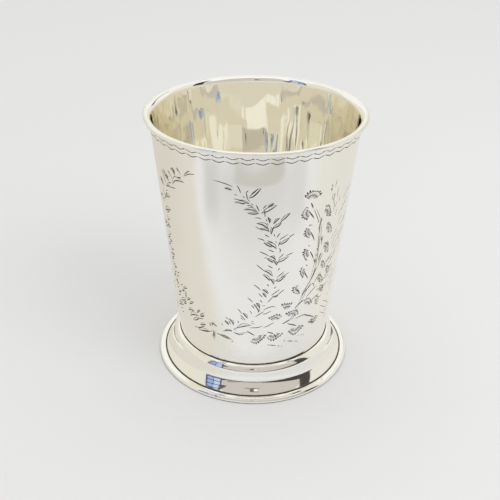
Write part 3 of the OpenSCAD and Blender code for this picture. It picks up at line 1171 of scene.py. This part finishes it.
spray_fine = (
    ((-2.8, 26.2), (0.6, 26.3), (3.3, 26.4), (6.7, 27.1)),
    ((6.5, 26.3), (9.4, 26.7), (11.7, 27.4), (14.4, 28.1)),
    ((40, 40), (41.5, 39.4), (42.8, 37.8)),
    ((43.4, 47.8), (43, 49), (43.8, 50), (44.5, 50.8)),
    ((38.2, 63.5), (38.5, 62.9)),
    ((38.4, 49.6), (40, 47.8)),
    ((40.1, 53.6), (40.9, 52.1)),
    ((40, 51.2), (40.7, 50.3)),
    ((40, 49.5), (40.2, 47.5)),
    ((43, 24), (45.8, 23), (48.2, 22.2)),
    ((9.5, 18.8), (11.9, 18.6), (13.9, 18.3), (15.8, 18.1), (16.5, 17.8)),
    ((17.7, 18), (19.1, 17.2)),
    ((22.2, 19.8), (22.7, 19)),
    ((24.4, 19), (26.3, 18.6), (28.2, 18.4), (29.6, 17.9)),
    ((30.6, 17.9), (32.5, 17.5), (34.1, 17.2)),
    ((33.4, 20), (34.1, 19.8)),
    ((36, 19.8), (36.8, 19.2)),
    ((38, 19.4), (38.9, 19)),
    ((28.1, 69.3), (29, 69.5), (30.3, 69.1)),
    ((31.9, 62.5), (32.4, 63), (34.5, 62.6)),
    ((32.9, 55.5), (34.4, 55.1)),
    ((32.9, 48.5), (34.4, 47.6)),
    ((27, 41), (28.1, 41.1), (29.3, 40.8)),
    ((45.6, 74.7), (46.2, 73.7)),
    ((45.1, 73.5), (46, 72.3)),
    ((49.3, 70.9), (49.5, 70)),
    ((48.6, 69.5), (49.1, 68.4)),
    ((50.3, 45.6), (52.6, 46.4), (56, 47.2)),
    ((45.3, 36), (48.4, 36.1)),
    ((39.2, 60), (40.4, 62.5), (41.4, 64.3)),
    ((43.4, 53.5), (43.7, 55.5), (44.5, 57)),
    ((43.1, 47.5), (43.9, 49.5), (45.5, 51)),
    ((31.7, 35.7), (34.2, 38.4), (37.6, 40.9), (40, 43.6), (41.4, 46.2)),
    ((41.4, 46.2), (41.5, 52.2), (40.8, 57.9)),
    ((46.2, 50.2), (44.4, 47.8), (42.8, 45.2)),
    ((47.4, 43.2), (44.2, 41.4), (41, 39.1)),
    ((45.4, 38.2), (40.5, 36.8), (35.9, 34.9)),
    ((48.9, 34.1), (43, 33.2), (38.4, 32)),
    ((28.7, 27.6), (35.2, 28.1), (40, 27.3)),
)
spray_hair = (
    ((33.6, 68.5), (36, 66.2), (38.3, 63.3)),
    ((40.5, 58.6), (40.3, 56.5), (40.2, 54.2)),
    ((20.3, 17.4), (21.7, 17.1)),
)
for width, group in ((FINE, spray_fine), (HAIR, spray_hair)):
    for points in group:
        cut_pair(width, *points)
stem = ((19.6, 26.9), (25.8, 28.3), (29.6, 32.6), (33.8, 37.2), (37.6, 41.2), (39.4, 46.5), (40.1, 53),
        (40.3, 58.5), (39.4, 62.5), (36.2, 66), (33.6, 68.5))
for aside in STEM_LINES:
    for first in range(0, len(stem) - 1, 2):
        cut_pair(STEM_CUT, *((turn + aside, z) for turn, z in stem[first : first + 3]))
print("with the spray:", len(strokes), "cuts")

# %% [markdown]
# Beyond the spray stands a fern of hair lines. It is drawn once and cut three times over, each time a little
# to the side, and again on the far left.

# %% Fern
FERN_TIMES = ((0, 0), (3.0, 1.3), (1.4, -3.1))

fern = (
    ((45.8, 71.8), (46.1, 73.1), (46.5, 74.4)),
    ((49.3, 67.3), (49.1, 69.4), (49.3, 71.5)),
    ((52, 65.4), (53, 67.7)),
    ((57.9, 60.9), (59.1, 62.9), (63.4, 63.1)),
    ((60, 66.6), (63.2, 68), (66, 69.5)),
    ((53, 53.5), (54.2, 54.6), (55.5, 55.6)),
    ((55.5, 51.9), (57, 53.2), (58.5, 54.4)),
    ((58.6, 50.2), (60, 51.5), (61.4, 52.8)),
    ((62.7, 51), (63.9, 52.5), (65.7, 53.9)),
    ((61.3, 56.9), (64.5, 57.4), (67.5, 58.1)),
    ((65.4, 56.8), (70.6, 58.2)),
    ((50.2, 44.7), (52.2, 45.6), (54.2, 46.6)),
    ((52.8, 43.6), (55.7, 44.8), (58.6, 45.9)),
    ((54.9, 45.5), (59.3, 46.2)),
    ((47, 38.1), (51.3, 39), (59, 39.5)),
    ((57.7, 37.4), (62.7, 38.5)),
    ((60.2, 36.2), (67.4, 37.2)),
    ((47.6, 35), (50.7, 35.7)),
    ((60.3, 30.1), (63, 30.9)),
    ((51.9, 28.3), (56.8, 26.6), (63.5, 24.2)),
    ((59.7, 23.5), (65.3, 23.4)),
)
for round_by, up_by in FERN_TIMES:
    for points in fern:
        cut_pair(HAIR, *((turn + round_by, z + up_by) for turn, z in points))
print("with the fern:", len(strokes), "cuts")

# %% [markdown]
# Now the strokes are cut into the sheet. The wall is unrolled to a flat rectangle, and a constrained
# Delaunay triangulation joins the outline and the middle line of every stroke with a plain grid of points.
# Each middle line is then pushed in, so that a stroke is a real V-shaped groove, and the rectangle is
# rolled up again. A displacement map could not hold such thin lines without millions of faces.

# %% Lines on the unrolled wall
GROOVE = 0.55
RIM_COLUMNS = 360
WALL_ROWS, FLARE_ROWS = 38, 9
END_TURN = START_TURN + 360

columns = np.linspace(START_TURN, END_TURN, RIM_COLUMNS + 1)
rows = np.r_[np.linspace(WALL_LOW, FLARE_Z, WALL_ROWS), np.linspace(FLARE_Z, WALL_TOP, FLARE_ROWS)[1:]]
points, depths, edges, outlines = [], [], [], []


def add(place, depth=0.0):
    """Adds a point of the unrolled wall, and returns its number."""
    points.append(Vector(place))
    depths.append(depth)
    return len(points) - 1


for z in rows:
    on_edge = z in (rows[0], rows[-1])
    for place in flat([(turn, z) for turn in (columns if on_edge else columns[::2])]):
        add(place)

for width, ends, path in strokes:
    line = traced(path)
    share = np.linspace(0, 1, len(line))
    half = 0.5 * width * np.sin(np.pi * share).clip(0) ** ends
    along = np.gradient(line, axis=0)
    along /= np.linalg.norm(along, axis=1)[:, None]
    side = np.stack([-along[:, 1], along[:, 0]], 1) * half[:, None]
    first, last = add(line[0]), add(line[-1])
    middle = [add(p, GROOVE * h) for p, h in zip(line[1:-1], half[1:-1])]
    left = [add(p) for p in (line + side)[1:-1]]
    right_side = [add(p) for p in (line - side)[1:-1]]
    spine = [first, *middle, last]
    edges += list(zip(spine, spine[1:]))
    outline = [first, *right_side, last, *left[::-1]]
    edges += list(zip(outline, outline[1:] + outline[:1]))
    outlines.append(np.array([points[i] for i in outline]))
print("unrolled wall:", len(points), "points and", len(edges), "edges to join")

# %% [markdown]
# Where strokes cross, the triangulation merges points and adds new ones, so each of its points takes the
# depth of the deepest one that it came from. A triangle lies in a groove when its middle is inside a stroke's
# outline. The triangles are sorted from side to side first, so that an outline is tested on few of them.

# %% Triangulate the unrolled wall
sheet, _, triangles, from_points, _, _ = geometry.delaunay_2d_cdt(points, edges, [], 0, 1e-5)
sheet = np.array(sheet)
depth = np.array([max((depths[i] for i in ids), default=0.0) for ids in from_points])


def within(places, outline):
    """Which places lie inside an outline: those from which a level ray crosses it an odd number of times."""
    ax, az = outline.T
    bx, bz = np.roll(outline, -1, axis=0).T
    x, z = places[:, :1], places[:, 1:]
    spans = (az > z) != (bz > z)
    crossing_x = ax + (z - az) * (bx - ax) / np.where(bz == az, 1.0, bz - az)
    return (spans & (x < crossing_x)).sum(1) % 2 == 1


centres = sheet[np.array(triangles)].mean(1)
order = np.argsort(centres[:, 0])
level_x = centres[order, 0]
engraved = np.zeros(len(triangles), bool)
for outline in outlines:
    low, high = outline.min(0), outline.max(0)
    near = order[np.searchsorted(level_x, low[0]) : np.searchsorted(level_x, high[0])]
    near = near[(centres[near, 1] > low[1]) & (centres[near, 1] < high[1])]
    engraved[near[within(centres[near], outline)]] = True
print("triangulated:", len(sheet), "points,", len(triangles), "triangles")
print("of these,", int(engraved.sum()), "lie in grooves")

# %% [markdown]
# Rolling it up: each point goes to its angle and height, less its depth. The two upright edges of the
# rectangle meet at the back, where there is nothing but the border, and are joined point to point.

# %% Roll up the wall
SAME = 1e-4

turn = sheet[:, 0] / FLAT_R
height = sheet[:, 1]
reach = wall_r(height) - depth
outer = np.stack([reach * np.sin(turn), -reach * np.cos(turn), height], 1)

ends = flat([(START_TURN, 0), (END_TURN, 0)])[:, 0]
seam_left = {round(height[i], 4): i for i in np.flatnonzero(np.abs(sheet[:, 0] - ends[0]) < SAME)}
joined = np.arange(len(sheet))
for i in np.flatnonzero(np.abs(sheet[:, 0] - ends[1]) < SAME):
    joined[i] = seam_left[round(height[i], 4)]
print("seam joined at", len(seam_left), "points")

# %% [markdown]
# The inside was planished with a hammer over a stake. It keeps shallow dents of a few tenths of a millimetre,
# and upright streaks that are finer still. Nobody would feel them, but a mirror doubles every tilt, and light
# crosses the cup several times: they break the reflections inside into streaks. Smoothed by the hammer, the
# inside runs straight almost to the lip and then curls out over a short way. Its corner is worn round.

# %% Inside of the wall
INNER_ROWS = 96
LIP_ROUND = 0.28
LIP_CURL = 1.4
CLOSER_AT_TOP = 1.4
# Of each kind of unevenness: how deep it is, how often it comes round, how tall it is, where its noise starts
DENTS = (0.38, 2.2, 45, 0)
STREAKS = (0.11, 6.0, 60, 30)
RIPPLES = (0.05, 5.0, 7, 60)
RIPPLED_FROM, RIPPLED_OVER, LEAST_RIPPLED = 62, 12, 0.2
CALM_TOP, CALM_LOW = 1.2, 6.0


def unevenness(kind, about, z):
    """How far one kind of unevenness stands out at a height, in the direction about."""
    deep, often, tall, start = kind
    return deep * noise.noise(about * often + Vector((0, 0, start + z / tall)))


def held(value, least=0.0):
    """A value held between the least and one."""
    return min(1.0, max(least, value))


lip = [(LIP_ROUND * (1 - math.sin(a)), WALL_TOP - LIP_ROUND * (1 - math.cos(a)))
       for a in np.radians(range(0, 91, 15))]
down = np.linspace(0, 1, INNER_ROWS - len(lip) + 1)[1:] ** CLOSER_AT_TOP
rows_in = lip + [(0.0, lip[-1][1] - (lip[-1][1] - WALL_LOW) * share) for share in down]
lip_out = wall_r(WALL_TOP) - WAIST_R - TAPER * (WALL_TOP - WAIST_Z)
inner = np.empty((INNER_ROWS, RIM_COLUMNS, 3))
for j, t in enumerate(np.radians(columns[:-1])):
    about = Vector((math.cos(t), math.sin(t), 0))
    for i, (outward, z) in enumerate(rows_in):
        wild = held((WALL_TOP - z) / CALM_TOP) * held((z - DISC_TOP) / CALM_LOW)
        rippled = held((z - RIPPLED_FROM) / RIPPLED_OVER, LEAST_RIPPLED)
        uneven = unevenness(DENTS, about, z) + unevenness(STREAKS, about, z)
        uneven += rippled * unevenness(RIPPLES, about, z)
        curl = max(0.0, z - WALL_TOP + LIP_CURL) / LIP_CURL
        even_r = WAIST_R + TAPER * (z - WAIST_Z) - LEVEL_SHEET + lip_out * curl**2
        r = even_r + outward + wild * uneven
        inner[i, j] = r * math.sin(t), -r * math.cos(t), z
inner = inner.reshape(-1, 3)
print("inside:", len(inner), "points")

# %% [markdown]
# Now the outer sheet, the inside and the two narrow edges are joined up. The triangles of the outside come
# first, then strips of squares from the upper edge down the inside to the lower edge. Outside and inside
# each get their own half of the map.

# %% Faces of the wall
base = len(outer)


def edge_points(z):
    """Numbers of the outer sheet's points along one level edge, in order round the cup."""
    found = np.flatnonzero(np.abs(height - z) < SAME)
    return joined[found[np.argsort(sheet[found, 0])]][:-1]


faces = [tuple(int(joined[i]) for i in t) for t in triangles]
maps = [(0.005 + 0.99 * (sheet[i, 0] - ends[0]) / (ends[1] - ends[0]),
         0.5 + 0.49 * (height[i] - WALL_LOW) / (WALL_TOP - WALL_LOW)) for t in triangles for i in t]
grid = base + np.arange(INNER_ROWS * RIM_COLUMNS).reshape(INNER_ROWS, RIM_COLUMNS)
strips = np.vstack([edge_points(WALL_TOP), grid, edge_points(WALL_LOW)])
levels = 0.48 * np.linspace(1, 0, len(strips))
for upper, lower, high, low in zip(strips, strips[1:], levels, levels[1:]):
    for j in range(RIM_COLUMNS):
        k = (j + 1) % RIM_COLUMNS
        faces.append((int(upper[j]), int(upper[k]), int(lower[k]), int(lower[j])))
        u, v = j / RIM_COLUMNS, (j + 1) / RIM_COLUMNS
        maps += [(u, high), (v, high), (v, low), (u, low)]
print("wall:", len(triangles), "triangles outside and", len(faces) - len(triangles), "squares inside")

# %% [markdown]
# All of it becomes one closed mesh. Between the grooves the surface takes its normals from the cone itself
# and not from the triangles, so the polish shows no trace of how it was meshed. Inside a groove each facet
# keeps its own normal, and stays crisp.

# %% Close the wall
used = np.zeros(base + len(inner), bool)
used[[i for f in faces for i in f]] = True
number = np.cumsum(used) - 1
mesh = bpy.data.meshes.new("wall")
mesh.from_pydata((np.vstack([outer, inner])[used] * MM).tolist(), [],
                 [tuple(int(number[i]) for i in f) for f in faces])
mesh.uv_layers.new(name="OFBake").data.foreach_set("uv", np.array(maps, float).ravel())
smooth(mesh)
slopes = wall_slope(height)
cone = np.stack([np.sin(turn), -np.cos(turn), -slopes], 1) / np.sqrt(1 + slopes**2)[:, None]
normals = [(0.0, 0.0, 0.0)] * len(mesh.loops)
for face_number, t in enumerate(triangles):
    if not engraved[face_number]:
        for k, i in zip(mesh.polygons[face_number].loop_indices, t):
            normals[k] = tuple(cone[i])
    else:
        for k in mesh.polygons[face_number].loop_indices:
            normals[k] = tuple(mesh.polygons[face_number].normal)
mesh.normals_split_custom_set(normals)
wall = link("wall", mesh)
fit_out(wall, "cup_wall", engraved_silver)

# %% [markdown]
# The finish inside the cuts: the same silver, gone dark and dull where no cloth can reach. The inside of the
# cup has the brightest polish, because nothing but drink and a soft cloth has touched it.

# %% Finish of the cuts
OXIDE_SCALE = 700
OXIDE_DARK, OXIDE_PALE = (0.06, 0.052, 0.042, 1), (0.34, 0.31, 0.26, 1)

cut_dark, tree, shader = nodes_of("cut_dark")
place = tree.nodes.new("ShaderNodeTexCoord").outputs["Object"]
oxide = noise_node(tree, place, OXIDE_SCALE, 2.0)
oxide_tone = blend(tree, ranged(tree, oxide, 0.3, 0.75, 0.0, 1.0), OXIDE_DARK, OXIDE_PALE)
feed(tree, shader.inputs["Base Color"], oxide_tone)
shader.inputs["Metallic"].default_value = 0.9
shader.inputs["Roughness"].default_value = 0.42
mesh.materials.append(cut_dark)
mesh.materials.append(inside_silver)
kinds = np.full(len(mesh.polygons), 2)
kinds[: len(engraved)] = engraved
mesh.polygons.foreach_set("material_index", kinds)
print("wall:", len(mesh.polygons), "faces,", int(engraved.sum()), "of them dark")
